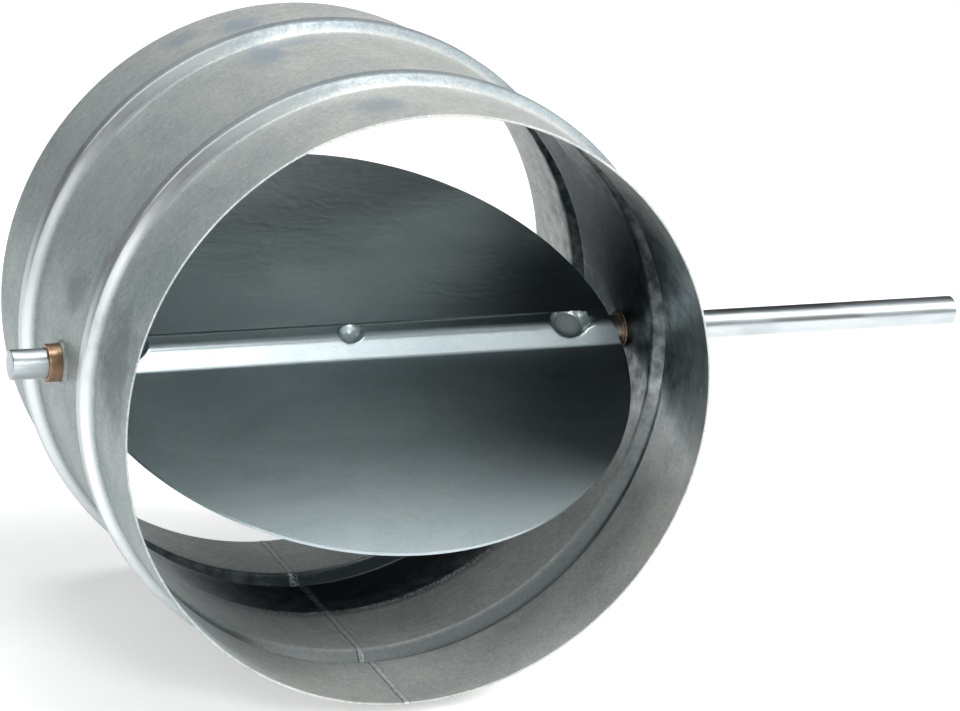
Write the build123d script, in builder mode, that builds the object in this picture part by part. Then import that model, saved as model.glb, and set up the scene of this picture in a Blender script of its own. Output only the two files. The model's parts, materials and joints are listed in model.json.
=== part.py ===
from build123d import *
from math import atan2, cos, radians, sin, tan
import os

# Round duct air damper for a 250 mm (10 inch) duct, in millimetres.
# X runs along the shaft towards its long drive end, Y along the duct from the
# inlet rim to the outlet rim, Z up. The origin is the centre of the inlet rim.

# Casing: a rolled and welded sleeve with two raised beads
casing_radius = 126.0
casing_wall = 1.0
casing_length = 196.0
shaft_from_inlet = 96.0
inlet_bead_from_rim = 53.5
outlet_bead_from_rim = 50.0
bead_width = 15.8
bead_crown_width = 6.2
bead_height = 4.8
lip_wall = 0.7
lip_height = 1.2

# Shaft: a round rod with a flat under each stake
shaft_radius = 6.35
shaft_stub_length = 22.0
shaft_drive_length = 160.0

# Bearings: plain bushes pressed into the casing's drawn holes, which keep the blade off the wall
bearing_wall = 1.6
bearing_running_gap = 0.05
bearing_seat_gap = 0.03
bearing_stand_out = 7.0
bearing_stand_in = 2.0

# Blade: two equal pressed skins, back to back around the shaft
blade_edge_gap = 1.9
blade_angle = 64.0
skin_thickness = 0.8
blade_end_gap = 0.6
channel_height = 8.7
channel_half_foot = 10.1
channel_half_crown = 4.0
channel_bend_radius = 1.2

# Stakes: round flat-nosed punch marks that press the channels down on flats of the shaft
stake_bite = 1.7
stake_gap = 0.05
stake_lean = 12.0
stake_wall_angle = 35.0
end_stake_place = 100.0
end_stake_half_length = 10.0
middle_stake_half_length = 6.0

os.makedirs("parts", exist_ok=True)

# Places that follow from the sizes above
inner_radius = casing_radius - casing_wall
shaft_centre = Vector(0, shaft_from_inlet, 0)
bead_places = (inlet_bead_from_rim, casing_length - outlet_bead_from_rim)
bead_flank_angle = atan2(bead_height, (bead_width - bead_crown_width) / 2)
blade_radius = inner_radius - blade_edge_gap
sleeve_radius = shaft_radius + bearing_running_gap + bearing_wall
hole_radius = sleeve_radius + bearing_seat_gap
bearing_inner_end = inner_radius - bearing_stand_in
bearing_outer_end = casing_radius + bearing_stand_out
blade_end = bearing_inner_end - blade_end_gap
blade_normal = Vector(0, -cos(radians(blade_angle)), sin(radians(blade_angle)))
blade_rise = Vector(0, sin(radians(blade_angle)), cos(radians(blade_angle)))
crown_height = skin_thickness + channel_height


def wall_line(depth):
    """Corners of the casing's wall on the surface this deep below its outer face, from the inlet on."""
    level = casing_radius - depth
    shift = depth * tan(bead_flank_angle / 2)
    half_foot = bead_width / 2 - shift
    half_crown = bead_crown_width / 2 - shift
    corners = [(level, 0)]
    for bead in bead_places:
        corners.append((level, bead - half_foot))
        corners.append((level + bead_height, bead - half_crown))
        corners.append((level + bead_height, bead + half_crown))
        corners.append((level, bead + half_foot))
    corners.append((level, casing_length))
    return corners


# Casing
with BuildPart() as casing:
    with BuildSketch(Plane.XY):
        with BuildLine():
            Polyline(*wall_line(0), *reversed(wall_line(casing_wall)), close=True)
        make_face()
    revolve(axis=Axis.Y)
    for side in (-1, 1):
        lip_start = Plane(shaft_centre, (0, 1, 0), (side, 0, 0)).offset(casing_radius - casing_wall / 2)
        with BuildSketch(lip_start):
            Circle(hole_radius + lip_wall)
        extrude(amount=casing_wall / 2 + lip_height)
        with BuildSketch(lip_start.offset(-2 * casing_wall)):
            Circle(hole_radius)
        extrude(amount=3 * casing_wall + lip_height, mode=Mode.SUBTRACT)
casing.part.label = "casing"
export_step(casing.part, "parts/casing.step")

# Bearings, the drive end's first and the other as its mirror image
with BuildPart() as bearing_drive_end:
    with BuildSketch(Plane(shaft_centre, (0, 1, 0), (1, 0, 0)).offset(bearing_inner_end)):
        Circle(sleeve_radius)
        Circle(sleeve_radius - bearing_wall, mode=Mode.SUBTRACT)
    extrude(amount=bearing_outer_end - bearing_inner_end)
bearing_drive_end.part.label = "bearing_drive_end"
export_step(bearing_drive_end.part, "parts/bearing_drive_end.step")

with BuildPart() as bearing_short_end:
    add(mirror(bearing_drive_end.part, about=Plane.YZ, mode=Mode.PRIVATE))
bearing_short_end.part.label = "bearing_short_end"
export_step(bearing_short_end.part, "parts/bearing_short_end.step")

# Stakes: (place along the shaft, radius of the mark where it meets the crown)
stakes = (
    (-end_stake_place, end_stake_half_length),
    (0, middle_stake_half_length),
    (end_stake_place, end_stake_half_length),
)
stake_floor = shaft_radius - stake_bite + skin_thickness
stake_depth = crown_height - stake_floor
stake_slope = radians(stake_wall_angle)
punch_length = 2 * stake_depth
punch_flare = punch_length * tan(stake_slope)
punch_align = (Align.CENTER, Align.CENTER, Align.MIN)


def punch(place, half_length, side, growth):
    """Plane of a punch's flat nose over the front (side 1) or back (side -1) channel, and its radius."""
    aim = (blade_normal * cos(radians(stake_lean)) - blade_rise * sin(radians(stake_lean))) * side
    start = shaft_centre + Vector(place, 0, 0) + aim * (stake_floor - growth)
    nose = half_length - stake_depth * tan(stake_slope) + growth * (1 - sin(stake_slope)) / cos(stake_slope)
    return Plane(start, (1, 0, 0), aim), nose


# Shaft
flat_flare = (stake_bite + stake_gap) * tan(stake_slope)
with BuildPart() as shaft:
    with BuildSketch(Plane(shaft_centre, (0, 1, 0), (1, 0, 0)).offset(-casing_radius - shaft_stub_length)):
        Circle(shaft_radius)
    extrude(amount=2 * casing_radius + shaft_stub_length + shaft_drive_length)
    for side in (-1, 1):
        for place, half_length in stakes:
            seat, nose = punch(place, half_length, side, skin_thickness + stake_gap)
            with Locations(seat):
                flat_size = (2 * (nose + flat_flare), 2 * shaft_radius, shaft_radius)
                Box(*flat_size, align=punch_align, mode=Mode.SUBTRACT)
shaft.part.label = "shaft"
export_step(shaft.part, "parts/shaft.step")

# Blade skins
flank_angle = atan2(channel_height, channel_half_foot - channel_half_crown)
bend_shift = skin_thickness * tan(flank_angle / 2)
outer_line = (
    (-channel_half_foot, skin_thickness),
    (-channel_half_crown, crown_height),
    (channel_half_crown, crown_height),
    (channel_half_foot, skin_thickness),
)
inner_line = (
    (channel_half_foot - bend_shift, 0),
    (channel_half_crown - bend_shift, channel_height),
    (-channel_half_crown + bend_shift, channel_height),
    (-channel_half_foot + bend_shift, 0),
)


def draw_skin(plane):
    """Section of one skin across the shaft, with its pressed channel and rounded bends."""
    with BuildSketch(plane) as section:
        with BuildLine():
            Polyline(
                (-blade_radius, skin_thickness),
                *outer_line,
                (blade_radius, skin_thickness),
                (blade_radius, 0),
                *inner_line,
                (-blade_radius, 0),
                close=True,
            )
        make_face()
        channel_reach = channel_half_foot + skin_thickness
        bends = section.vertices().filter_by_position(Axis.X, -channel_reach, channel_reach)
        heights = bends.group_by(Axis.Y)
        fillet(heights[1] + heights[2], channel_bend_radius)
        fillet(heights[0] + heights[3], channel_bend_radius + skin_thickness)
    return section.sketch


for name, side in (("blade_front_skin", 1), ("blade_back_skin", -1)):
    section_plane = Plane(shaft_centre, blade_rise * side, (1, 0, 0))
    face_plane = Plane(shaft_centre, (1, 0, 0), blade_normal * side)
    cups = []
    for place, half_length in stakes:
        with BuildPart() as cup:
            seat, nose = punch(place, half_length, side, skin_thickness)
            with Locations(seat):
                Cone(nose, nose + punch_flare, punch_length, align=punch_align)
            with BuildSketch(section_plane):
                with BuildLine():
                    Polyline(*inner_line, close=True)
                make_face()
                offset(amount=skin_thickness / 2)
            extrude(amount=blade_radius, both=True, mode=Mode.INTERSECT)
        cups.append(cup.part)
    with BuildPart() as skin:
        extrude(draw_skin(section_plane), amount=blade_radius, both=True)
        with BuildSketch(face_plane):
            Circle(blade_radius)
            Rectangle(2 * blade_end, 2 * blade_radius, mode=Mode.INTERSECT)
        extrude(amount=2 * crown_height, both=True, mode=Mode.INTERSECT)
        add(cups)
        for place, half_length in stakes:
            seat, nose = punch(place, half_length, side, 0)
            with Locations(seat):
                Cone(nose, nose + punch_flare, punch_length, align=punch_align, mode=Mode.SUBTRACT)
    skin.part.label = name
    export_step(skin.part, f"parts/{name}.step")
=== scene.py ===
import json
import math

import bmesh
import bpy
import numpy as np
from mathutils import Euler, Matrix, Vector


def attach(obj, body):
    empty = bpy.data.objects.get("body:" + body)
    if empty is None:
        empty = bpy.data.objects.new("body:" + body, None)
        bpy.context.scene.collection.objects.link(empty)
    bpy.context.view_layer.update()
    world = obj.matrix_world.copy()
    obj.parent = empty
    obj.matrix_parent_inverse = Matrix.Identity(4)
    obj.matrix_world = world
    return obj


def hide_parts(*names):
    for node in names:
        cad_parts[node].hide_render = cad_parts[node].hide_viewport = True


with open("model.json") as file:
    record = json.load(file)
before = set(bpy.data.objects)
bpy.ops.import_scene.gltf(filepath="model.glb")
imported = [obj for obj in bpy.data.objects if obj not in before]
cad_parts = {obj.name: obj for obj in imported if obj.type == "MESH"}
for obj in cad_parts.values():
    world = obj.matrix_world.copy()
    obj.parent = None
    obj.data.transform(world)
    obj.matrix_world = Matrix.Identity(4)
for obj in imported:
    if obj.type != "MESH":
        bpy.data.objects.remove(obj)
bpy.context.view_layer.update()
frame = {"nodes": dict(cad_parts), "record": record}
print("frame loaded:", sorted(frame["nodes"]))

mm = 0.001  # shapes are drawn in millimetres, and the scene is in metres


def addNode(tree, kind, inputs=(), **settings):
    # a node with its properties set, and its sockets linked or given a value
    made = tree.nodes.new(kind)
    for name, value in settings.items():
        setattr(made, name, value)
    for name, value in dict(inputs).items():
        if isinstance(value, bpy.types.NodeSocket):
            tree.links.new(value, made.inputs[name])
        else:
            made.inputs[name].default_value = value
    return made


def calc(tree, operation, *inputs):
    made = addNode(tree, "ShaderNodeMath", enumerate(inputs), operation=operation)
    return made.outputs["Value"]


def vectorCalc(tree, operation, *inputs):
    made = addNode(tree, "ShaderNodeVectorMath", enumerate(inputs), operation=operation)
    return made.outputs["Value" if operation in ("DOT_PRODUCT", "LENGTH") else "Vector"]


def spread(tree, value, low, high, toLow=0.0, toHigh=1.0):
    # a smooth step from toLow, where the value is low, to toHigh
    inputs = {"Value": value, "From Min": low, "From Max": high, "To Min": toLow, "To Max": toHigh}
    made = addNode(tree, "ShaderNodeMapRange", inputs, interpolation_type="SMOOTHSTEP")
    return made.outputs["Result"]


def noise(tree, place, scale, detail, roughness, distortion=0.0):
    inputs = {
        "Vector": place, "Scale": scale,
        "Detail": detail, "Roughness": roughness, "Distortion": distortion,
    }
    return addNode(tree, "ShaderNodeTexNoise", inputs).outputs["Fac"]


def blendColor(tree, factor, first, second, kind="MIX"):
    made = addNode(tree, "ShaderNodeMix", data_type="RGBA", blend_type=kind)
    sockets = [s for s in made.inputs if s.enabled]
    for socket, value in zip(sockets, (factor, first, second)):
        if isinstance(value, bpy.types.NodeSocket):
            tree.links.new(value, socket)
        elif isinstance(value, tuple):
            socket.default_value = (*value, 1)
        else:
            socket.default_value = value
    return next(s for s in made.outputs if s.enabled)


def objectPlace(tree):
    return addNode(tree, "ShaderNodeTexCoord").outputs["Object"]


def splitPlace(tree, place):
    return addNode(tree, "ShaderNodeSeparateXYZ", {"Vector": place}).outputs


# the photograph's view
cameraSettings = {
    "place": (-0.57205, -1.5000, 0.53495),
    "turn": (72.415, -3.197, -20.603),  # degrees
    "sensor": 36.0,
    "lens": 156.63,
    "clip": (0.01, 60.0),
}


def addCamera(settings):
    data = bpy.data.cameras.new("camera")
    data.sensor_width = settings["sensor"]
    data.lens = settings["lens"]
    data.clip_start, data.clip_end = settings["clip"]
    camera = bpy.data.objects.new("camera", data)
    camera.location = settings["place"]
    camera.rotation_euler = Euler([math.radians(a) for a in settings["turn"]])
    bpy.context.scene.collection.objects.link(camera)
    bpy.context.scene.camera = camera


worldSettings = {"color": (0.02, 0.022, 0.024), "strength": 1.0}


def addWorld(settings):
    world = bpy.data.worlds.new("studio")
    world.use_nodes = True
    background = world.node_tree.nodes["Background"].inputs
    background["Color"].default_value = (*settings["color"], 1)
    background["Strength"].default_value = settings["strength"]
    bpy.context.scene.world = world


floorSettings = {
    "place": (0.0, 0.1, -0.1309),
    "radius": 9.0,
    "sides": 96,
    "color": (0.90, 0.90, 0.90),
    "roughness": 0.9,
    "gloss": 0.2,
    "glow": 0.42,  # what the floor adds for the eye, for metal and for glass
}


def addFloor(settings):
    turns = [2 * math.pi * i / settings["sides"] for i in range(settings["sides"])]
    radius = settings["radius"]
    mesh = bpy.data.meshes.new("floor")
    ring = [(radius * math.cos(turn), radius * math.sin(turn), 0) for turn in turns]
    mesh.from_pydata(ring, [], [tuple(range(len(ring)))])
    floor = bpy.data.objects.new("floor", mesh)
    floor.location = settings["place"]
    bpy.context.scene.collection.objects.link(floor)
    material = bpy.data.materials.new("floorPaper")
    material.use_nodes = True
    tree = material.node_tree
    shader = tree.nodes["Principled BSDF"].inputs
    shader["Base Color"].default_value = (*settings["color"], 1)
    shader["Roughness"].default_value = settings["roughness"]
    shader["Specular IOR Level"].default_value = settings["gloss"]
    shader["Emission Color"].default_value = (1, 1, 1, 1)
    rays = addNode(tree, "ShaderNodeLightPath").outputs
    seen = calc(tree, "MAXIMUM", rays["Is Camera Ray"], rays["Is Glossy Ray"])
    seen = calc(tree, "MAXIMUM", seen, rays["Is Transmission Ray"])
    glow = calc(tree, "MULTIPLY", seen, settings["glow"])
    tree.links.new(glow, shader["Emission Strength"])
    mesh.materials.append(material)


# name: (place, aimed at, width, height, watts, spread in degrees)
lampSettings = {
    "lampFront": ((1.37, -0.65, 1.09), (0.0, 0.08, 0.0), 0.6, 0.7, 30.0, 180),
    "lampMid": ((0.0, -1.57, 0.95), (0.0, 0.08, 0.0), 0.6, 0.6, 11.0, 180),
    "lampLow": ((0.06, -1.5, 0.0), (0.0, 0.08, 0.0), 0.7, 0.3, 5.2, 180),
    "lampTop": ((0.32, -0.15, 1.36), (0.0, 0.05, 0.0), 0.42, 0.60, 10.0, 180),
    "lampSide": ((-1.58, -0.76, 0.40), (0.0, 0.08, 0.0), 0.22, 0.85, 5.0, 180),
    "lampBack": ((-1.1, 1.0, 1.25), (0.0, 0.08, 0.0), 0.9, 0.7, 3.5, 180),
    "lampRear": ((-0.22, 0.5, 1.45), (0.0, 0.08, 0.0), 0.8, 0.6, 7.0, 180),
    "lampFloor": ((0.5, 2.0, 1.7), (0.5, 2.0, -0.13), 3.0, 1.3, 9.0, 60),
}


def addLamp(name, place, aim, width, height, watts, spreadAngle):
    data = bpy.data.lights.new(name, "AREA")
    data.shape = "RECTANGLE"
    data.size = width
    data.size_y = height
    data.energy = watts
    data.spread = math.radians(spreadAngle)
    lamp = bpy.data.objects.new(name, data)
    lamp.location = place
    lamp.rotation_euler = (Vector(aim) - Vector(place)).to_track_quat("-Z", "Y").to_euler()
    bpy.context.scene.collection.objects.link(lamp)


addCamera(cameraSettings)
addWorld(worldSettings)
addFloor(floorSettings)
for lampName, lampValues in lampSettings.items():
    addLamp(lampName, *lampValues)
print("studio ready")


def newGroup(name, inputs, outputs):
    # a node group with its sockets, and both ends of it
    tree = bpy.data.node_groups.new(name, "ShaderNodeTree")
    for label, value in inputs.items():
        kind = "NodeSocketVector" if isinstance(value, tuple) else "NodeSocketFloat"
        socket = tree.interface.new_socket(label, in_out="INPUT", socket_type=kind)
        socket.default_value = value
    for label in outputs:
        tree.interface.new_socket(label, in_out="OUTPUT", socket_type="NodeSocketFloat")
    given = tree.nodes.new("NodeGroupInput").outputs
    return tree, given, tree.nodes.new("NodeGroupOutput").inputs


def makeZincClouds():
    # soft patches of zinc, and the small crystals in them
    inputs = {"Patch Scale": 22.0, "Crystal Scale": 170.0, "Stretch": (1.0, 1.0, 1.0)}
    tree, given, out = newGroup("zincClouds", inputs, ("Patches", "Crystals"))
    place = vectorCalc(tree, "MULTIPLY", objectPlace(tree), given["Stretch"])
    patches = noise(tree, place, given["Patch Scale"], 4.0, 0.55, 0.6)
    crystals = noise(tree, place, given["Crystal Scale"], 3.0, 0.6, 1.5)
    tree.links.new(spread(tree, patches, 0.32, 0.68), out["Patches"])
    tree.links.new(spread(tree, crystals, 0.35, 0.65), out["Crystals"])
    return tree


def makeRollMarks():
    # long thin streaks: Stretch is large across the streaks and small along them
    inputs = {"Stretch": (6.0, 400.0, 6.0), "Breaks": 9.0}
    tree, given, out = newGroup("rollMarks", inputs, ("Streaks",))
    place = objectPlace(tree)
    streaks = noise(tree, vectorCalc(tree, "MULTIPLY", place, given["Stretch"]), 1.0, 5.0, 0.65)
    strength = spread(tree, noise(tree, place, given["Breaks"], 2.0, 0.5), 0.35, 0.65)
    centred = calc(tree, "SUBTRACT", streaks, 0.5)
    tree.links.new(calc(tree, "MULTIPLY_ADD", centred, strength, 0.5), out["Streaks"])
    return tree


def makeSmudge():
    # one mark with a soft ragged edge, round a place on the object
    inputs = {"Place": (0.0, 0.0, 0.0), "Size": (0.01, 0.01, 0.01), "Ragged": 0.5}
    tree, given, out = newGroup("smudge", inputs, ("Mask",))
    place = objectPlace(tree)
    away = vectorCalc(tree, "SUBTRACT", place, given["Place"])
    far = vectorCalc(tree, "LENGTH", vectorCalc(tree, "DIVIDE", away, given["Size"]))
    wobble = calc(tree, "SUBTRACT", noise(tree, place, 130.0, 4.0, 0.6), 0.5)
    edge = calc(tree, "MULTIPLY_ADD", wobble, given["Ragged"], far)
    tree.links.new(spread(tree, edge, 1.0, 0.25), out["Mask"])
    return tree


def makeRipples():
    # low waves that the rolls left in the sheet
    tree, given, out = newGroup("ripples", {"Stretch": (100.0, 100.0, 100.0)}, ("Height",))
    place = vectorCalc(tree, "MULTIPLY", objectPlace(tree), given["Stretch"])
    tree.links.new(noise(tree, place, 1.0, 1.0, 0.5, 1.2), out["Height"])
    return tree


groups = {
    "zincClouds": makeZincClouds(),
    "rollMarks": makeRollMarks(),
    "smudge": makeSmudge(),
    "ripples": makeRipples(),
}


def useGroup(tree, name, inputs):
    return addNode(tree, "ShaderNodeGroup", inputs, node_tree=groups[name]).outputs


def startMetal(name):
    material = bpy.data.materials.new(name)
    material.use_nodes = True
    shader = material.node_tree.nodes["Principled BSDF"].inputs
    shader["Metallic"].default_value = 1
    return material, material.node_tree, shader


def finishMetal(tree, shader, color, rough, height, strength, depth):
    bump = addNode(
        tree, "ShaderNodeBump", {"Height": height, "Strength": strength, "Distance": depth}
    )
    tree.links.new(color, shader["Base Color"])
    tree.links.new(rough, shader["Roughness"])
    tree.links.new(bump.outputs["Normal"], shader["Normal"])


def useClouds(tree, values):
    return useGroup(tree, "zincClouds", {
        "Patch Scale": values["patchScale"],
        "Crystal Scale": values["crystalScale"],
        "Stretch": values["stretch"],
    })


def useMarks(tree, values):
    inputs = {"Stretch": values["streakStretch"], "Breaks": values["streakBreaks"]}
    return useGroup(tree, "rollMarks", inputs)["Streaks"]


# places and lengths in the finishes are in metres, unless a note says otherwise
casingFinish = {
    "color": (0.40, 0.43, 0.435),
    "darkColor": (0.31, 0.335, 0.34),
    "edgeTint": (0.50, 0.52, 0.53),  # what is left of the mirror at a grazing view
    "roughness": (0.40, 0.32),  # where the metal is dark and where it is light
    "patchScale": 30.0,
    "crystalScale": 430.0,
    "stretch": (1.0, 1.0, 1.0),
    "grain": 0.6,  # share of the crystals beside the patches
    "streakStretch": (7.0, 330.0, 7.0),
    "streakBreaks": 11.0,
    "streakWeight": 0.60,
    "rippleStretch": (160.0, 160.0, 160.0),
    "rippleStrength": 0.12,
    "rippleDepth": 0.0004,
    # the dull zinc of the outer side and of the two collars inside
    "dullColor": (0.60, 0.605, 0.57),
    "dullDark": (0.37, 0.40, 0.395),
    "dullMetallic": 0.30,
    "dullExtraRoughness": 0.06,
    "inletDull": (0.104, 0.098),  # along the duct, from none to all
    "outletDull": (0.153, 0.156),
    "sideShadeTint": (0.82, 0.91, 0.94),  # painted shade: darker, bluer dull zinc at the short end of the shaft
    "sideSpan": (-0.118, -0.02),  # along the shaft, from all of that tint to none
    # the beads, worn shiny most at the short end of the shaft; elsewhere their dark colour is
    # painted shade
    "beads": (0.0535, 0.146),
    "beadHalf": 0.0066,
    "beadFade": 0.0016,
    "beadDull": (0.15, 0.95),  # at the short end and elsewhere
    "beadSpan": (-0.10, -0.04),  # along the shaft, between these two
    "beadWornAndShadedColor": ((0.80, 0.85, 0.87), (0.20, 0.25, 0.27)),  # worn metal at the short end, painted shade elsewhere
    "beadGrain": 0.3,
    "innerBeadDull": 0.2,  # what is left of the dull zinc on a bead's inner side
    # a place inside, on the wall at the drive end of the shaft and reaching into the inlet collar,
    # where the dull zinc is left out so that the bare metal and the painted shade on it show dark
    "paintedShadeBareWall": {"Place": (0.125, 0.07, 0.032), "Size": (0.125, 0.16, 0.115), "Ragged": 0.5},
    # painted shade: darker, bluer patches on the outer side, at the top and on the side at the
    # short end of the shaft, where the outer wall's reflection is darker
    # (degrees from +X to +Z, mm along the duct, mm round, mm along, color, weight)
    "paintedShadePatches": (
        (103.5, 172.0, 15.0, 13.0, (0.31, 0.37, 0.42), 0.85),
        (115.0, 182.0, 13.0, 11.0, (0.33, 0.38, 0.43), 0.8),
        (105.6, 123.0, 12.0, 21.0, (0.31, 0.37, 0.42), 0.85),
        (98.0, 130.0, 15.0, 9.0, (0.35, 0.40, 0.45), 0.7),
        (98.0, 23.0, 14.0, 18.0, (0.31, 0.35, 0.39), 0.7),
        (165.0, 93.0, 14.0, 22.0, (0.15, 0.18, 0.18), 0.6),
        (157.0, 63.0, 24.0, 14.0, (0.17, 0.20, 0.20), 0.5),
        (171.0, 22.0, 34.0, 30.0, (0.10, 0.13, 0.135), 0.75),
    ),
    # painted shade: near-black patches on the inner wall, above the shaft on the drive-end side
    # and at the bottom behind the blade, where the blade's shadow and dark reflections fall
    "paintedInnerShade": (
        (22.0, 105.0, 120.0, 110.0, (0.02, 0.024, 0.028), 0.95),
        (-75.0, 140.0, 130.0, 60.0, (0.04, 0.045, 0.05), 0.9),
    ),
    "paintedShadeRadius": 126.0,  # mm
    "paintedShadeRagged": 0.9,
    # the weld along the bottom
    "seamAt": -0.0011,
    "seamHalf": 0.0014,
    "seamFade": 0.0009,
    "seamWander": 0.0014,
    "seamColor": (0.70, 0.71, 0.70),
    "seamWeight": 0.7,
    "seamEdge": (0.10, 0.11, 0.115),
    "seamEdgeFade": (0.0006, 0.0001),
    "seamEdgeWeight": 0.6,
    # the scuffed ring that the blade's edge left at the bottom
    "scuffAt": 0.1035,
    "scuffFade": (0.0028, 0.00084),
    "scuffBelow": (-0.075, -0.105),
    "scuffColor": (0.62, 0.64, 0.65),
}
bladeFinish = {
    "color": (0.50, 0.575, 0.595),
    "darkColor": (0.38, 0.45, 0.47),
    "edgeTint": (1.0, 1.0, 1.0),
    "roughness": (0.32, 0.30),
    "patchScale": 16.0,
    "crystalScale": 300.0,
    "stretch": (1.0, 2.4, 2.4),
    "grain": 0.35,
    "streakStretch": (9.0, 210.0, 210.0),
    "streakBreaks": 14.0,
    "streakWeight": 0.20,
    "rippleStretch": (90.0, 200.0, 200.0),
    "rippleStrength": (0.084, 0.42),  # in the half towards the inlet and in the other
    "rippleSpan": (0.100, 0.125),  # along the duct
    "rippleDepth": 0.0004,
    # (place, size) of the stakes' dulled hollows
    "struck": (
        ((-0.100, 0.0938, 0.0049), 0.0085),
        ((-0.0012, 0.0938, 0.0049), 0.0055),
        ((0.099, 0.0938, 0.0049), 0.0085),
    ),
    "struckMetallic": 0.55,
    "struckRagged": 0.4,
}


def dullMask(tree, values):
    # how dull the zinc is, and how much of a bead's crown a place has on the outer side
    coords = addNode(tree, "ShaderNodeTexCoord").outputs
    outward = vectorCalc(tree, "MULTIPLY", coords["Object"], (1.0, 0.0, 1.0))
    facing = vectorCalc(tree, "DOT_PRODUCT", outward, coords["Normal"])
    place = splitPlace(tree, coords["Object"])
    outside = calc(tree, "GREATER_THAN", facing, 0.0)
    inlet = spread(tree, place["Y"], *values["inletDull"])
    outlet = spread(tree, place["Y"], *values["outletDull"])
    # painted shade: no dull zinc where the near-black inner patches must show
    paintedShadeBareWall = useGroup(tree, "smudge", values["paintedShadeBareWall"])["Mask"]
    outsideShadeBareWall = calc(tree, "SUBTRACT", 1.0, paintedShadeBareWall)
    inside = calc(tree, "MULTIPLY", calc(tree, "MAXIMUM", inlet, outlet), outsideShadeBareWall)
    worn = spread(tree, place["X"], *values["beadSpan"], *values["beadDull"])
    half, fade = values["beadHalf"], values["beadFade"]
    onBead = 0.0
    for bead in values["beads"]:
        away = calc(tree, "ABSOLUTE", calc(tree, "SUBTRACT", place["Y"], bead))
        flat = spread(tree, away, half - fade, half + fade)
        crown = calc(tree, "MULTIPLY", outside, calc(tree, "SUBTRACT", 1.0, flat))
        onBead = calc(tree, "MAXIMUM", onBead, crown)
        outside = calc(tree, "MULTIPLY", outside, calc(tree, "MAXIMUM", flat, worn))
        inner = calc(tree, "MAXIMUM", flat, values["innerBeadDull"])
        inside = calc(tree, "MULTIPLY", inside, inner)
    return calc(tree, "MAXIMUM", outside, inside), onBead


def seamMarks(tree, values):
    # the weld's light crinkled face and its two dark edges, in the lower half of the casing
    coords = objectPlace(tree)
    place = splitPlace(tree, coords)
    half = values["seamHalf"]
    wander = calc(tree, "SUBTRACT", noise(tree, coords, 160.0, 3.0, 0.6), 0.5)
    across = calc(tree, "MULTIPLY_ADD", wander, values["seamWander"], place["X"])
    away = calc(tree, "ABSOLUTE", calc(tree, "SUBTRACT", across, values["seamAt"]))
    low = calc(tree, "LESS_THAN", place["Z"], 0.0)
    crinkle = spread(tree, noise(tree, coords, 620.0, 2.0, 0.6), 0.35, 0.6)
    face = calc(tree, "MULTIPLY", spread(tree, away, half + values["seamFade"], half), low)
    face = calc(tree, "MULTIPLY", face, crinkle)
    off = calc(tree, "ABSOLUTE", calc(tree, "SUBTRACT", away, half))
    edges = calc(tree, "MULTIPLY", spread(tree, off, *values["seamEdgeFade"]), low)
    return face, edges


def scuffMask(tree, values):
    coords = objectPlace(tree)
    place = splitPlace(tree, coords)
    away = calc(tree, "ABSOLUTE", calc(tree, "SUBTRACT", place["Y"], values["scuffAt"]))
    ring = spread(tree, away, *values["scuffFade"])
    low = spread(tree, place["Z"], *values["scuffBelow"])
    flecks = spread(tree, noise(tree, coords, 900.0, 2.0, 0.6), 0.40, 0.62)
    return calc(tree, "MULTIPLY", calc(tree, "MULTIPLY", ring, low), flecks)


# patches of painted shade on the round wall, each a ragged oval
def addPaintedShade(tree, color, paintedShadePatches, values):
    radius = values["paintedShadeRadius"] * mm
    for angle, along, wide, long, shadeColor, weight in paintedShadePatches:
        turn = math.radians(angle)
        mask = useGroup(tree, "smudge", {
            "Place": (radius * math.cos(turn), along * mm, radius * math.sin(turn)),
            "Size": (wide * mm, long * mm, wide * mm),
            "Ragged": values["paintedShadeRagged"],
        })["Mask"]
        color = blendColor(tree, calc(tree, "MULTIPLY", mask, weight), color, shadeColor)
    return color


def dressCasing(tree, values, tone, color, rough):
    # bright metal between the beads inside, dull zinc elsewhere, then painted shade, scuff and
    # weld
    dull, onBead = dullMask(tree, values)
    scuff = scuffMask(tree, values)
    dull = calc(tree, "MAXIMUM", dull, scuff)
    rightward = spread(tree, splitPlace(tree, objectPlace(tree))["X"], *values["sideSpan"])
    # painted shade: the near-black inner patches, laid on the bare metal before the dull zinc
    # covers the collars
    color = addPaintedShade(tree, color, values["paintedInnerShade"], values)
    dullColor = blendColor(tree, tone, values["dullDark"], values["dullColor"])
    # painted shade: the dull zinc darker and bluer at the short end of the shaft
    sideShadedColor = blendColor(tree, 1.0, dullColor, values["sideShadeTint"], "MULTIPLY")
    dullColor = blendColor(tree, rightward, sideShadedColor, dullColor)
    color = blendColor(tree, dull, color, dullColor)
    # painted shade: the beads' colour is dark away from the short end, worn bright metal at it
    beadWornAndShadedColor = blendColor(tree, rightward, *values["beadWornAndShadedColor"])
    beadGrain = calc(tree, "MULTIPLY", tone, values["beadGrain"])
    beadWornAndShadedColor = blendColor(tree, beadGrain, beadWornAndShadedColor, values["seamColor"])
    color = blendColor(tree, onBead, color, beadWornAndShadedColor)
    # painted shade: darker, bluer patches on the outer side
    color = addPaintedShade(tree, color, values["paintedShadePatches"], values)
    color = blendColor(tree, scuff, color, values["scuffColor"])
    face, edges = seamMarks(tree, values)
    face = calc(tree, "MULTIPLY", face, values["seamWeight"])
    edges = calc(tree, "MULTIPLY", edges, values["seamEdgeWeight"])
    color = blendColor(tree, face, color, values["seamColor"])
    color = blendColor(tree, edges, color, values["seamEdge"])
    rough = calc(tree, "MULTIPLY_ADD", dull, values["dullExtraRoughness"], rough)
    metallic = calc(tree, "MULTIPLY_ADD", dull, values["dullMetallic"] - 1.0, 1.0)
    return color, rough, metallic, values["rippleStrength"]


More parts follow.
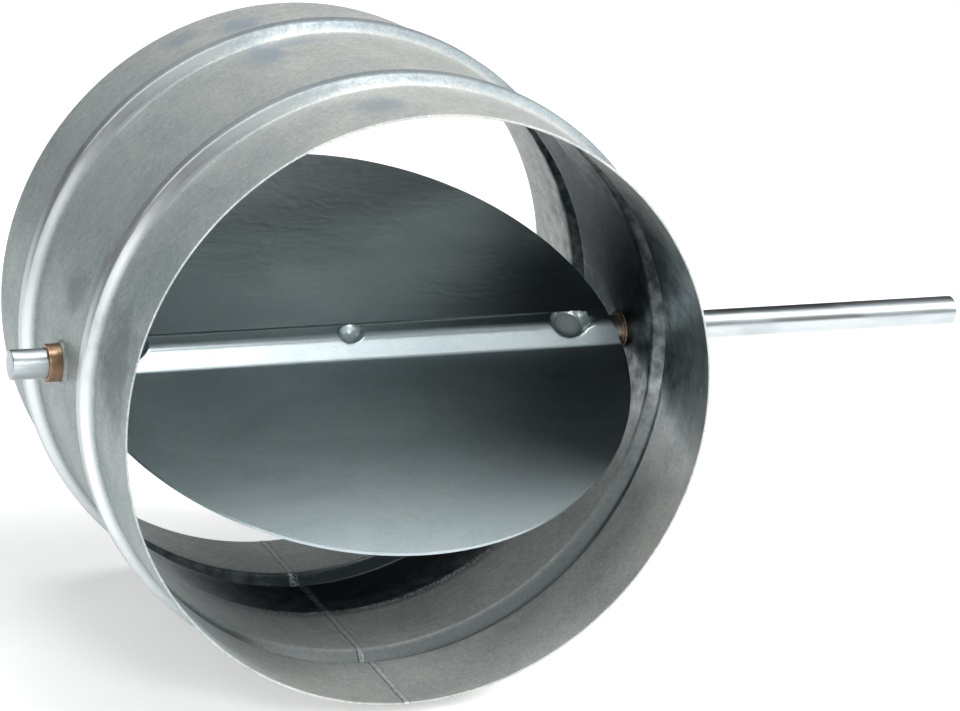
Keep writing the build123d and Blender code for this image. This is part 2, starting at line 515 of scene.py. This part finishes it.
def dressBlade(tree, values, tone, color, rough):
    # hollows that the punch dulled, and ripples that fade towards the inlet
    metallic = 1.0
    for place, size in values["struck"]:
        inputs = {"Place": place, "Size": (size,) * 3, "Ragged": values["struckRagged"]}
        mask = useGroup(tree, "smudge", inputs)["Mask"]
        metallic = calc(tree, "MULTIPLY_ADD", mask, values["struckMetallic"] - 1.0, metallic)
    along = splitPlace(tree, objectPlace(tree))["Y"]
    strength = spread(tree, along, *values["rippleSpan"], *values["rippleStrength"])
    return color, rough, metallic, strength


def makeSheet(name, values, dress):
    material, tree, shader = startMetal(name)
    shader["Specular Tint"].default_value = (*values["edgeTint"], 1)
    clouds = useClouds(tree, values)
    patches = calc(tree, "MULTIPLY", clouds["Patches"], 1 - values["grain"])
    tone = calc(tree, "MULTIPLY_ADD", clouds["Crystals"], values["grain"], patches)
    streaks = calc(tree, "SUBTRACT", useMarks(tree, values), 0.5)
    tone = calc(tree, "MULTIPLY_ADD", streaks, values["streakWeight"], tone)
    color = blendColor(tree, tone, values["darkColor"], values["color"])
    rough = spread(tree, tone, 0.0, 1.0, *values["roughness"])
    color, rough, metallic, strength = dress(tree, values, tone, color, rough)
    tree.links.new(metallic, shader["Metallic"])
    ripples = useGroup(tree, "ripples", {"Stretch": values["rippleStretch"]})["Height"]
    finishMetal(tree, shader, color, rough, ripples, strength, values["rippleDepth"])
    return material


rodFinish = {
    "color": (0.56, 0.59, 0.60),
    "darkColor": (0.36, 0.41, 0.43),
    "roughness": (0.40, 0.29),  # where the metal is dark and where it is light
    "toneSpan": (0.2, 0.8),
    "patchShare": 0.5,  # the rest is streaks, or crystals where it has none
    "patchScale": 60.0,
    "crystalScale": 500.0,
    "stretch": (0.4, 1.0, 1.0),
    "streakStretch": (5.0, 900.0, 900.0),
    "streakBreaks": 30.0,
    "bump": 0.06,
    "bumpDepth": 0.0002,
}
bushFinish = {
    "color": (0.42, 0.27, 0.165),
    "darkColor": (0.20, 0.13, 0.085),
    "roughness": (0.50, 0.30),
    "toneSpan": (0.0, 1.0),
    "patchShare": 0.6,
    "patchScale": 210.0,
    "crystalScale": 1400.0,
    "stretch": (1.0, 1.0, 1.0),
    "bump": 0.15,
    "bumpDepth": 0.0002,
}


def makeTurned(name, values):
    material, tree, shader = startMetal(name)
    clouds = useClouds(tree, values)
    fine = useMarks(tree, values) if "streakStretch" in values else clouds["Crystals"]
    fine = calc(tree, "MULTIPLY", fine, 1 - values["patchShare"])
    tone = calc(tree, "MULTIPLY_ADD", clouds["Patches"], values["patchShare"], fine)
    color = blendColor(tree, tone, values["darkColor"], values["color"])
    rough = spread(tree, tone, *values["toneSpan"], *values["roughness"])
    finishMetal(tree, shader, color, rough, tone, values["bump"], values["bumpDepth"])
    return material


metals = {
    "casing_steel": makeSheet("casing_steel", casingFinish, dressCasing),
    "blade_steel": makeSheet("blade_steel", bladeFinish, dressBlade),
    "shaft_steel": makeTurned("shaft_steel", rodFinish),
    "bearing_bronze": makeTurned("bearing_bronze", bushFinish),
}
print("metals mixed")

sharpAngle = 38.0  # degrees between two faces from which their edge stays sharp
mergeGap = 1e-7  # metres


def roundedLine(corners, radii, gap, arcSteps=6):
    # a line through the corners, with each inner corner rounded and long runs divided
    corners = [np.array(c, float) for c in corners]
    points = [corners[0]]
    for before, corner, after, radius in zip(corners, corners[1:], corners[2:], radii):
        back = (before - corner) / np.linalg.norm(before - corner)
        onward = (after - corner) / np.linalg.norm(after - corner)
        half = math.acos(np.clip(back @ onward, -1, 1)) / 2
        start, end = (corner + side * radius / math.tan(half) for side in (back, onward))
        inward = (back + onward) / np.linalg.norm(back + onward)
        middle = corner + inward * radius / math.sin(half)
        turn = math.pi - 2 * half
        for i in range(arcSteps + 1):
            t = i / arcSteps
            fromStart = math.sin((1 - t) * turn) * (start - middle)
            fromEnd = math.sin(t * turn) * (end - middle)
            points.append(middle + (fromStart + fromEnd) / math.sin(turn))
    points.append(corners[-1])
    divided = [points[0]]
    for a, b in zip(points, points[1:]):
        steps = max(1, math.ceil(np.linalg.norm(b - a) / gap))
        divided += [a + (b - a) * i / steps for i in range(1, steps + 1)]
    return np.array(divided)


def gridFaces(rows, columns, start=0, closeRows=False, closeColumns=False):
    # four-sided faces between points that stand in rows
    faces = []
    for i in range(rows if closeRows else rows - 1):
        for j in range(columns if closeColumns else columns - 1):
            row, nextRow = start + i * columns, start + (i + 1) % rows * columns
            nextColumn = (j + 1) % columns
            faces.append((row + j, row + nextColumn, nextRow + nextColumn, nextRow + j))
    return faces


def fullTurn(steps):
    return np.linspace(0, 2 * math.pi, steps, endpoint=False)


def spin(line, angles, axisAlong):
    # (along, radius) points turned round a line parallel to X, this far along the duct
    return [
        (along, axisAlong + radius * math.cos(angle), radius * math.sin(angle))
        for angle in angles
        for along, radius in line
    ]


def addCutter(name, shaped, place, direction, scale=(1, 1, 1)):
    # a solid to cut away, with its own Z turned to the direction
    mesh = bpy.data.meshes.new(name)
    shaped.to_mesh(mesh)
    shaped.free()
    cutter = bpy.data.objects.new(name, mesh)
    cutter.location = place
    cutter.rotation_euler = Vector(direction).to_track_quat("Z", "Y").to_euler()
    cutter.scale = scale
    bpy.context.scene.collection.objects.link(cutter)
    return cutter


def makePiece(name, node, body, points, faces, cutters=()):
    mesh = bpy.data.meshes.new(name)
    mesh.from_pydata([tuple(p) for p in points], [], faces)
    shaped = bmesh.new()
    shaped.from_mesh(mesh)
    bmesh.ops.remove_doubles(shaped, verts=shaped.verts, dist=mergeGap)
    bmesh.ops.recalc_face_normals(shaped, faces=shaped.faces)
    shaped.to_mesh(mesh)
    shaped.free()
    piece = bpy.data.objects.new(name, mesh)
    bpy.context.scene.collection.objects.link(piece)
    for cutter in cutters:
        cut = piece.modifiers.new("cut", "BOOLEAN")
        cut.operation = "DIFFERENCE"
        cut.solver = "EXACT"
        cut.object = cutter
    if cutters:
        bpy.context.view_layer.update()
        shapedPiece = piece.evaluated_get(bpy.context.evaluated_depsgraph_get())
        finished = bpy.data.meshes.new_from_object(shapedPiece)
        piece.modifiers.clear()
        piece.data = finished
        for cutter in cutters:
            bpy.data.objects.remove(cutter)
    slotName = next(s["material_slot"] for s in frame["record"]["subparts"] if s["node"] == node)
    piece.data.materials.clear()
    piece.data.materials.append(metals[slotName])
    piece.data.shade_smooth()
    piece.data.set_sharp_from_angle(angle=math.radians(sharpAngle))
    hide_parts(node)
    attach(piece, body)


casingForm = {
    "radius": 126.0,
    "wall": 1.0,
    "length": 196.0,
    "steps": 351,  # round the casing, from one side of the weld to the other
    "gap": 4.0,  # longest step along the duct
    "beads": (53.5, 146.0),
    "beadWidth": 15.8,
    "beadCrown": 6.2,
    "beadHeight": 4.7,
    "crownRound": 2.6,
    "footRound": 2.2,
    "rimRound": 0.25,
    # the weld's raised line on the inside
    "seamAngle": -90.5,  # degrees from +X towards +Z
    "seamHalf": 1.2,
    "seamSlope": 0.15,  # half the width over which it rises
    "seamRise": 0.2,
    "seamColumns": (0.6, 1.05, 1.2, 1.35, 1.7, 2.2),  # on both sides of its middle
    # (waves in a turn, phase, height) of how far the sheet is from round, and its top
    "waves": ((3, 0.7, 0.05), (7, 2.1, 0.03)),
    "waveAlong": (1.3, 0.4),  # half waves along the duct, and phase
    "waveTop": 0.04,
    # the drawn edges of the two holes
    "holeAt": 96.0,
    "holeRadius": 8.03,
    "holeMargin": 0.3,  # between the cut in the sheet and the bore
    "cutLength": 12.0,
    "lipWall": 0.7,
    "lipHeight": 1.2,
    "lipSweep": 2.5,
    "lipDepths": (-0.06, -0.02, -1.2),  # where the sweep starts and ends, and the bore ends
    "lipRounds": (1.1, 0.25, 0.3),
    "lipGap": 1.0,
    "lipColumns": 96,
}


def casingLine(depth, form):
    # the wall's line from rim to rim, on the surface this deep below the outer one
    level = form["radius"] - depth
    crownLevel = level + form["beadHeight"]
    slope = math.atan2(form["beadHeight"], (form["beadWidth"] - form["beadCrown"]) / 2)
    shift = depth * math.tan(slope / 2)
    outer, inner = form["beadWidth"] / 2 - shift, form["beadCrown"] / 2 - shift
    foot, crown = form["footRound"] + depth, form["crownRound"] - depth
    middle = form["radius"] - form["wall"] / 2
    corners, radii = [(0, middle), (0, level)], [form["rimRound"]]
    for bead in form["beads"]:
        corners += [
            (bead - outer, level), (bead - inner, crownLevel),
            (bead + inner, crownLevel), (bead + outer, level),
        ]
        radii += [foot, crown, crown, foot]
    corners += [(form["length"], level), (form["length"], middle)]
    radii += [form["rimRound"]]
    return roundedLine(corners, radii, form["gap"])


def buildCasing(form):
    outer, inner = casingLine(0, form), casingLine(form["wall"], form)
    line = np.vstack([outer, inner[::-1][1:-1]])
    isInner = np.arange(len(line)) >= len(outer)
    seam = math.radians(form["seamAngle"])
    offsets = np.array(form["seamColumns"])
    offsets = np.concatenate([-offsets[::-1], [0], offsets])
    angles = list(seam + offsets / form["radius"])
    angles += list(np.linspace(angles[-1], angles[0] + 2 * math.pi, form["steps"] + 1)[1:-1])
    halfWaves, phase = form["waveAlong"]
    points = []
    for angle in angles:
        off = abs((angle - seam + math.pi) % (2 * math.pi) - math.pi) * form["radius"]
        slope = form["seamSlope"]
        ridge = np.clip((form["seamHalf"] + slope - off) / (2 * slope), 0, 1) * form["seamRise"]
        wave = sum(high * math.sin(count * angle + start) for count, start, high in form["waves"])
        for (along, radius), inside in zip(line, isInner):
            swell = wave * math.sin(along / form["length"] * math.pi * halfWaves + phase)
            r = (radius - ridge * inside + min(swell, form["waveTop"])) * mm
            points.append((r * math.cos(angle), along * mm, r * math.sin(angle)))
    faces = gridFaces(len(angles), len(line), closeRows=True, closeColumns=True)
    cutters = []
    for side in (-1, 1):
        rod = bmesh.new()
        cutRadius = (form["holeRadius"] + form["holeMargin"]) * mm
        bmesh.ops.create_cone(
            rod, cap_ends=True, segments=form["lipColumns"],
            radius1=cutRadius, radius2=cutRadius, depth=form["cutLength"] * mm,
        )
        place = (side * form["radius"] * mm, form["holeAt"] * mm, 0)
        cutters.append(addCutter("holeCutter", rod, place, (1, 0, 0)))
    makePiece("casingSheet", "casing", "casing_body", points, faces, cutters)


def buildLip(name, side, form):
    # the drawn edge of a hole, which flows out of the round wall
    hole, height = form["holeRadius"], form["lipHeight"]
    outside = hole + form["lipWall"]
    sweepStart, sweepEnd, boreEnd = form["lipDepths"]
    corners = [
        (outside + form["lipSweep"], sweepStart), (outside, sweepEnd),
        (outside, height), (hole, height), (hole, boreEnd),
    ]
    line = roundedLine(corners, form["lipRounds"], form["lipGap"])
    points = []
    for angle in fullTurn(form["lipColumns"]):
        for away, rise in line:
            across, up = away * math.cos(angle), away * math.sin(angle)
            wallHeight = math.sqrt(form["radius"] ** 2 - up**2)
            flat = np.clip(rise / height, 0, 1)
            out = wallHeight * (1 - flat) + form["radius"] * flat + rise
            points.append((side * out * mm, (form["holeAt"] + across) * mm, up * mm))
    faces = gridFaces(form["lipColumns"], len(line), closeRows=True)
    makePiece(name, "casing", "casing_body", points, faces)


buildCasing(casingForm)
buildLip("casingLipShort", -1, casingForm)
buildLip("casingLipDrive", 1, casingForm)
print("casing rolled")

# two equal skins, back to back, and the punch that staked them to the shaft
bladeForm = {
    "angle": 64.0,  # degrees from closed
    "radius": 123.1,
    "end": 122.4,  # half the length along the shaft
    "skin": 0.8,
    "channelHeight": 8.7,
    "halfFoot": 10.1,
    "halfCrown": 4.0,
    "bendRadius": 1.2,
    "crownRound": 4.6,
    "endBevel": 5.0,
    "stakes": ((-100.0, 9.4), (-1.2, 5.5), (99.0, 9.4)),  # (place, half length)
    "stakeBite": 1.7,
    "stakeGap": 0.05,
    "stakeLean": 12.0,  # degrees off the blade's normal
    "stakeWall": 35.0,  # degrees
    "lipRound": 0.5,
    "floorRound": 1.2,
    # steps of the mesh
    "flatFrom": 3.0,  # outside the channel's foot
    "middleRows": 74,
    "outerRows": 43,
    "channelGap": 0.5,
    "channelArc": 10,
    "stakeMargin": 1.5,
    "gaps": (4.0, 0.55, 3.0),  # before a stake, over it and after the last one
    "dishTop": 40.0,  # highest place at which the punch's wall is looked for
    "dishSteps": 34,
}
shaftForm = {
    "from": -148.0,
    "to": 286.0,
    "radius": 6.35,
    "endRound": 0.5,
    "axisAt": 96.0,
    "gap": 6.0,
    "columns": 96,
}
bladeTilt = math.radians(bladeForm["angle"])
bladeNormal = Vector((0, -math.cos(bladeTilt), math.sin(bladeTilt)))
bladeRise = Vector((0, math.sin(bladeTilt), math.cos(bladeTilt)))


def punchNose(form, shaft, half, growth):
    # height over the shaft's axis of the punch's flat nose, and its radius
    slope = math.radians(form["stakeWall"])
    floor = shaft["radius"] - form["stakeBite"] + form["skin"]
    depth = form["skin"] + form["channelHeight"] - floor
    widening = growth * (1 - math.sin(slope)) / math.cos(slope)
    return floor - growth, half - depth * math.tan(slope) + widening


def buildShaft(form, blade):
    corners = [
        (form["from"], 0), (form["from"], form["radius"]),
        (form["to"], form["radius"]), (form["to"], 0),
    ]
    line = roundedLine(corners, [form["endRound"]] * 2, form["gap"], 5)
    points = spin(line * mm, fullTurn(form["columns"]), form["axisAt"] * mm)
    faces = gridFaces(form["columns"], len(line), closeRows=True)
    slope, lean = math.radians(blade["stakeWall"]), math.radians(blade["stakeLean"])
    flare = (blade["stakeBite"] + blade["stakeGap"]) * math.tan(slope)
    cutters = []
    for side in (1, -1):
        aim = (bladeNormal * math.cos(lean) - bladeRise * math.sin(lean)) * side
        for place, half in blade["stakes"]:
            height, nose = punchNose(blade, form, half, blade["skin"] + blade["stakeGap"])
            middle = Vector((place, form["axisAt"], 0)) + aim * (height + form["radius"] / 2)
            size = Vector((2 * (nose + flare), 2 * form["radius"], form["radius"]))
            block = bmesh.new()
            bmesh.ops.create_cube(block, size=1)
            cutters.append(addCutter("flatCutter", block, middle * mm, aim, size * mm))
    makePiece("shaftRod", "shaft", "blade_body", points, faces, cutters)


bushForm = {
    "from": 123.0,
    "to": 133.0,
    "radius": 8.0,
    "bore": 6.4,
    "edgeRound": 0.3,
    "innerRound": 0.25,
    "gap": 1.5,
    "columns": 96,
}


def buildBush(name, node, side, form, shaft):
    start, end, bore, radius = (form[key] for key in ("from", "to", "bore", "radius"))
    middle = (start + end) / 2
    corners = [
        (middle, bore), (start, bore), (start, radius),
        (end, radius), (end, bore), (middle, bore),
    ]
    rounds = [form["innerRound"], form["edgeRound"], form["edgeRound"], form["innerRound"]]
    line = roundedLine(corners, rounds, form["gap"], 5)[:-1]
    line[:, 0] *= side
    points = spin(line * mm, fullTurn(form["columns"]), shaft["axisAt"] * mm)
    faces = gridFaces(form["columns"], len(line), closeRows=True, closeColumns=True)
    makePiece(name, node, "casing_body", points, faces)


buildShaft(shaftForm, bladeForm)
buildBush("bushShort", "bearing_short_end", -1, bushForm, shaftForm)
buildBush("bushDrive", "bearing_drive_end", 1, bushForm, shaftForm)
print("shaft and bushes turned")


def softMin(a, b, width):
    # the lower of two heights, with their meeting rounded over this width
    h = np.clip(0.5 + 0.5 * (b - a) / width, 0, 1)
    return b * (1 - h) + a * h - width * h * (1 - h)


def channelHeights(across, depth, form):
    # height of the pressed face over the blade's middle plane, at places across the shaft
    slope = math.atan2(form["channelHeight"], form["halfFoot"] - form["halfCrown"])
    shift = depth * math.tan(slope / 2)
    foot, crown = form["halfFoot"] - shift, form["halfCrown"] - shift
    base = form["skin"] - depth
    top = base + form["channelHeight"]
    corners = [
        (-form["radius"], base), (-foot, base), (-crown, top),
        (crown, top), (foot, base), (form["radius"], base),
    ]
    footRound, crownRound = form["bendRadius"] + depth, form["crownRound"] - depth
    rounds = [footRound, crownRound, crownRound, footRound]
    line = roundedLine(corners, rounds, form["channelGap"], form["channelArc"])
    return np.interp(across, line[:, 0], line[:, 1])


def dishHeights(along, across, depth, place, half, form, shaft):
    # lowest face of the leaning punch over each point: a flat nose and a conical wall
    lean, slope = math.radians(form["stakeLean"]), math.radians(form["stakeWall"])
    noseHeight, nose = punchNose(form, shaft, half, depth)
    x = along - place
    low, high = np.zeros_like(x), np.full_like(x, form["dishTop"])
    for step in range(form["dishSteps"]):
        height = (low + high) / 2
        reach = -across * math.sin(lean) + height * math.cos(lean)
        around = np.sqrt(np.maximum(x**2 + across**2 + height**2 - reach**2, 0))
        inside = around <= nose + (reach - noseHeight) * math.tan(slope)
        high = np.where(inside, height, high)
        low = np.where(inside, low, height)
    nosePlane = (noseHeight + across * math.sin(lean)) / math.cos(lean)
    return -softMin(-high, -nosePlane, form["floorRound"])


def skinGrid(form):
    # places along and across the shaft, close together over the channel and the stakes
    before, over, after = form["gaps"]
    margin = form["stakeMargin"]
    stops = []
    for place, half in form["stakes"]:
        stops += [(place - half - margin, before), (place + half + margin, over)]
    columns = [-form["end"]]
    for stop, gap in stops + [(form["end"], after)]:
        count = math.ceil((stop - columns[-1]) / gap)
        columns += list(np.linspace(columns[-1], stop, count + 1)[1:])
    share = np.array(columns) / form["end"]
    inner = form["halfFoot"] + form["flatFrom"]
    middle = np.linspace(-inner, inner, form["middleRows"])
    outward = np.sin(np.linspace(0, math.pi / 2, form["outerRows"] + 1))[1:]
    outward = inner + (form["radius"] - inner) * outward
    rows = np.concatenate([-outward[::-1], middle, outward])
    reach = np.sqrt(np.maximum(form["radius"] ** 2 - rows**2, 1e-4))
    rise = (channelHeights(rows, 0, form) - form["skin"]) / form["channelHeight"]
    reach = np.minimum(form["end"], reach) - form["endBevel"] * rise
    return share[None, :] * reach[:, None], np.repeat(rows[:, None], len(share), axis=1)


def buildSkin(name, node, side, form, shaft):
    along, across = skinGrid(form)
    flat = np.abs(across) > form["halfFoot"] + form["flatFrom"] - 0.1
    points = []
    for depth in (0.0, form["skin"]):
        heights = channelHeights(across, depth, form)
        for place, half in form["stakes"]:
            dish = dishHeights(along, across, depth, place, half, form, shaft)
            heights = softMin(heights, dish, form["lipRound"])
        heights = np.where(flat, form["skin"] - depth, heights)
        for x, s, h in zip(along.ravel(), across.ravel(), heights.ravel()):
            place = Vector((x, shaft["axisAt"], 0)) + (bladeRise * s + bladeNormal * h) * side
            points.append(place * mm)
    rows, columns = along.shape
    other = rows * columns  # the second face's first point
    faces = gridFaces(rows, columns) + gridFaces(rows, columns, other)
    edge = [(0, j) for j in range(columns)]
    edge += [(i, columns - 1) for i in range(1, rows)]
    edge += [(rows - 1, j) for j in range(columns - 2, -1, -1)]
    edge += [(i, 0) for i in range(rows - 2, 0, -1)]
    edge = [i * columns + j for i, j in edge]
    for a, b in zip(edge, edge[1:] + edge[:1]):
        faces.append((a, b, b + other, a + other))
    makePiece(name, node, "blade_body", points, faces)


buildSkin("bladeFrontSkin", "blade_front_skin", 1, bladeForm, shaftForm)
buildSkin("bladeBackSkin", "blade_back_skin", -1, bladeForm, shaftForm)
print("blade pressed")

bpy.context.scene.view_settings.view_transform = "Standard"
print("done")
